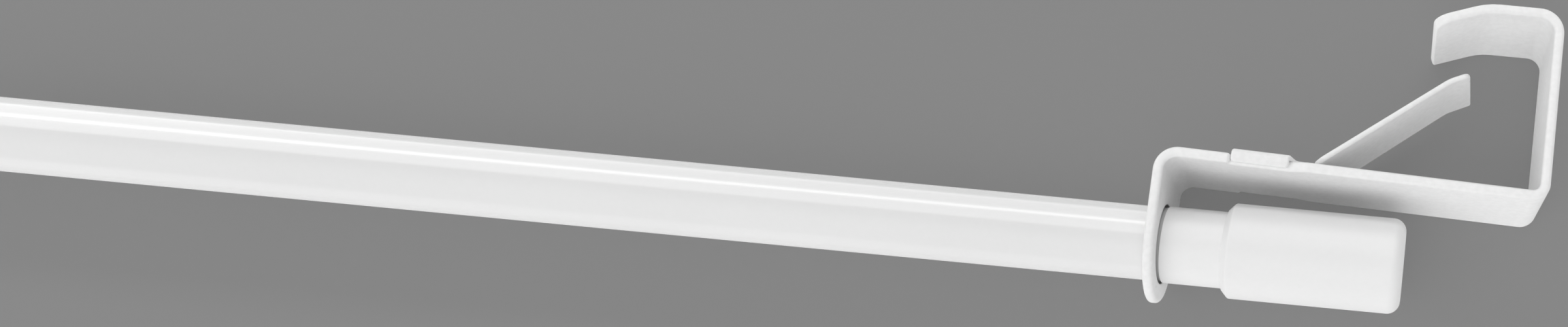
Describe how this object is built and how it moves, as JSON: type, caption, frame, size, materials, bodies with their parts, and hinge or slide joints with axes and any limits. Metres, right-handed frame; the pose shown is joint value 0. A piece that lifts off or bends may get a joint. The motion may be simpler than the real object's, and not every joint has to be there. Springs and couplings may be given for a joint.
{
  "type": "tension curtain rod",
  "caption": "Telescopic curtain rod with a spring-loaded hook bracket and a push-on cap at each end, clamped on a window sash.",
  "frame": {"origin": "on the rod's axis, midway between the round plates of the two brackets", "axes": "+X along the rod, towards the end with the thicker tube; +Y from the rod to the open side of the hooks; +Z across the width of the straps"},
  "size_m": [0.5004, 0.0708, 0.0254],
  "materials": {
    "tube_paint": "gloss white enamel",
    "strap_coating": "satin white powder coat",
    "clip_coating": "satin white powder coat on spring steel",
    "cap_plastic": "moulded, satin",
    "bush_plastic": "moulded, satin",
    "plug_plastic": "moulded, natural",
    "spring_wire": "drawn spring wire"
  },
  "bodies": {
    "rod": {"outer_tube": "tube_paint", "mouth_bush": "bush_plastic", "spring_stop": "plug_plastic", "tension_spring": "spring_wire"},
    "inner_rod": {"inner_tube": "tube_paint", "guide_plug": "plug_plastic"},
    "right_bracket": {"right_strap": "strap_coating"},
    "right_leaf": {"right_spring_clip": "clip_coating"},
    "left_bracket": {"left_strap": "strap_coating"},
    "left_leaf": {"left_spring_clip": "clip_coating"},
    "right_cap": {"right_end_cap": "cap_plastic"},
    "left_cap": {"left_end_cap": "cap_plastic"}
  },
  "joints": [
    {"name": "telescope", "type": "slide", "parent": "rod", "child": "inner_rod", "axis": [-1, 0, 0], "range_m": [-0.06, 0], "stiffness_N_per_m": 800, "deforming": ["tension_spring"]},
    {"name": "right_swivel", "type": "hinge", "parent": "rod", "child": "right_bracket", "pos_m": [0.166, 0, 0], "axis": [1, 0, 0], "continuous": true},
    {"name": "left_swivel", "type": "hinge", "parent": "inner_rod", "child": "left_bracket", "pos_m": [-0.166, 0, 0], "axis": [1, 0, 0], "continuous": true},
    {"name": "right_leaf_flex", "type": "hinge", "parent": "right_bracket", "child": "right_leaf", "pos_m": [0.1997, 0.01846, 0], "axis": [0, 0, 1], "range_deg": [-12, 0], "stiffness_Nm_per_rad": 3, "deforming": ["right_spring_clip"]},
    {"name": "left_leaf_flex", "type": "hinge", "parent": "left_bracket", "child": "left_leaf", "pos_m": [-0.1997, 0.01846, 0], "axis": [0, 0, 1], "range_deg": [0, 12], "stiffness_Nm_per_rad": 3, "deforming": ["left_spring_clip"]},
    {"name": "right_cap_pull", "type": "slide", "parent": "rod", "child": "right_cap", "axis": [1, 0, 0], "range_m": [0, 0.04]},
    {"name": "left_cap_pull", "type": "slide", "parent": "inner_rod", "child": "left_cap", "axis": [-1, 0, 0], "range_m": [0, 0.04]}
  ]
}
